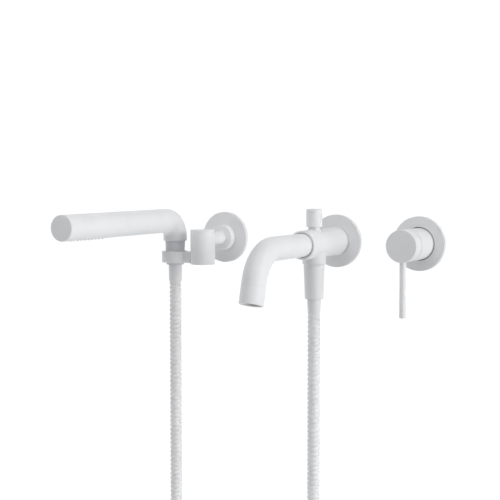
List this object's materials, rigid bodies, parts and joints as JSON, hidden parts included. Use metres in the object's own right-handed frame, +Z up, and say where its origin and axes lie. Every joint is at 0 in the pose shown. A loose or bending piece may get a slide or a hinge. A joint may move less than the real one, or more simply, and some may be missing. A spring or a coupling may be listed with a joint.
{
  "type": "wall mounted bath faucet",
  "caption": "Wall mounted bath spout with pull-up diverter, L-shaped stick hand shower in a cradle holder, flexible hose and single-lever mixer, all matte white.",
  "frame": {"origin": "centre of the spout's wall flange, on the wall plane, where the supply nipple crosses it", "axes": "+Z up, +Y into the wall, +X to the right as seen from in front; the hand shower is at -X and the mixer at +X"},
  "size_m": [0.3312, 0.3005, 0.634],
  "materials": {
    "white_enamel": "matte white powder coat",
    "white_hose": "matte white coated metal spiral",
    "brass": "bare turned brass",
    "steel": "plain stainless steel",
    "black_rubber": "black EPDM rubber",
    "white_silicone": "soft white silicone",
    "plastic": "moulded engineering plastic",
    "grey_plastic": "dark grey moulded plastic",
    "ceramic": "lapped alumina ceramic"
  },
  "bodies": {
    "root": {"spout_flange": "white_enamel", "spout_body": "white_enamel", "spout_tube": "white_enamel", "spout_orings": "black_rubber", "spout_grub_screw": "steel", "aerator_housing": "white_enamel", "aerator_insert": "grey_plastic", "aerator_washer": "black_rubber", "wall_nipple": "brass", "diverter_bush": "white_enamel", "diverter_stem_seal": "black_rubber", "diverter_spring": "steel", "check_valve": "plastic", "hose_nut_spout": "white_enamel", "hose_washer_spout": "black_rubber", "hose_core_spout": "steel", "ferrule_spout": "white_enamel", "hose": "white_hose", "wall_gaskets": "black_rubber", "holder_flange": "white_enamel", "holder_wall_plate": "steel", "holder_wall_screws": "steel", "holder_boss": "white_enamel", "holder_grub_screw": "steel", "holder_arm": "white_enamel", "holder_barrel": "white_enamel", "barrel_plug": "white_enamel", "holder_bracket": "white_enamel", "bracket_screw": "steel", "bracket_liner": "plastic", "mixer_flange": "white_enamel", "mixer_seal": "black_rubber", "mixer_sleeve": "white_enamel", "mixer_valve_body": "brass", "cartridge_body": "plastic", "cartridge_seal": "black_rubber", "cartridge_nut": "brass", "fixed_disc": "ceramic"},
    "hose_end": {"hose_core_handset": "steel", "ferrule_handset": "white_enamel"},
    "handset": {"handset_body": "white_enamel", "handset_end_cap": "white_enamel", "spray_plate": "white_enamel", "spray_nozzles": "white_silicone", "handset_waterway": "plastic", "handset_connector": "white_enamel", "flow_restrictor": "plastic", "handset_washer": "black_rubber", "hose_nut_handset": "white_enamel"},
    "diverter": {"diverter_knob": "white_enamel", "diverter_stem": "brass", "diverter_piston": "brass", "diverter_seat_washers": "black_rubber"},
    "mixer_spindle": {"cartridge_spindle": "brass", "moving_disc": "ceramic", "pivot_pin": "steel"},
    "mixer_lever": {"mixer_cap": "white_enamel", "lever_stem": "brass", "mixer_lever": "white_enamel"}
  },
  "joints": [
    {"name": "handset_lift", "type": "slide", "parent": "root", "child": "hose_end", "axis": [0, 0, 1], "range_m": [0, 0.06]},
    {"name": "handset_turn", "type": "hinge", "parent": "hose_end", "child": "handset", "pos_m": [-0.1855, -0.054, -0.02], "axis": [0, 0, 1], "range_deg": [-90, 45]},
    {"name": "diverter_pull", "type": "slide", "parent": "root", "child": "diverter", "axis": [0, 0, 1], "range_m": [0, 0.008], "stiffness_N_per_m": 250, "springref_m": -0.003, "deforming": ["diverter_spring"]},
    {"name": "mixer_turn", "type": "hinge", "parent": "root", "child": "mixer_spindle", "pos_m": [0.1, -0.0306, 0], "axis": [0, 1, 0], "range_deg": [-45, 45]},
    {"name": "mixer_tilt", "type": "hinge", "parent": "mixer_spindle", "child": "mixer_lever", "pos_m": [0.1, -0.0306, 0], "axis": [-1, 0, 0], "range_deg": [0, 20]}
  ]
}
